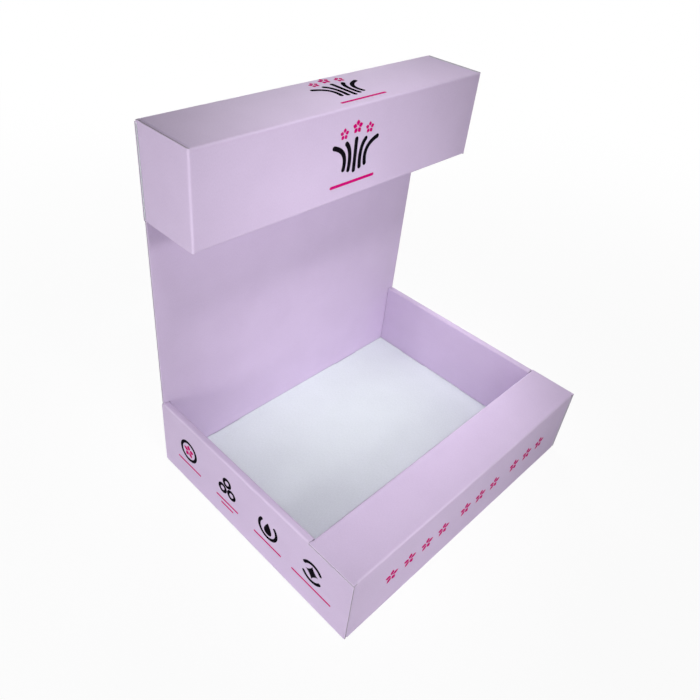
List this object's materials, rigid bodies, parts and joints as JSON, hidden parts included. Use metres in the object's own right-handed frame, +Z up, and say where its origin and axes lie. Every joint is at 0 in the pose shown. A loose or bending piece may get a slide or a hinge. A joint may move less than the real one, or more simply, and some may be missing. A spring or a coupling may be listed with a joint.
{
  "type": "cardboard display stand",
  "caption": "Counter display of folded corrugated board: shallow tray with rolled-over side walls and a boxed front ledge, and a tall back panel that carries a boxed header over the goods.",
  "frame": {"origin": "middle of the footprint, on the surface that the stand rests on", "axes": "+X to the right seen from the front, +Y to the back, +Z up; the front faces -Y"},
  "size_m": [0.305, 0.236, 0.327],
  "materials": {
    "tray_board": "pale lilac print on one side of white corrugated board, matt; the reverse, seen on the tray's floor, is plain white",
    "riser_board": "pale lilac print on one side of white corrugated board, matt"
  },
  "bodies": {
    "root": {"tray": "tray_board", "header_riser": "riser_board"}
  },
  "joints": []
}
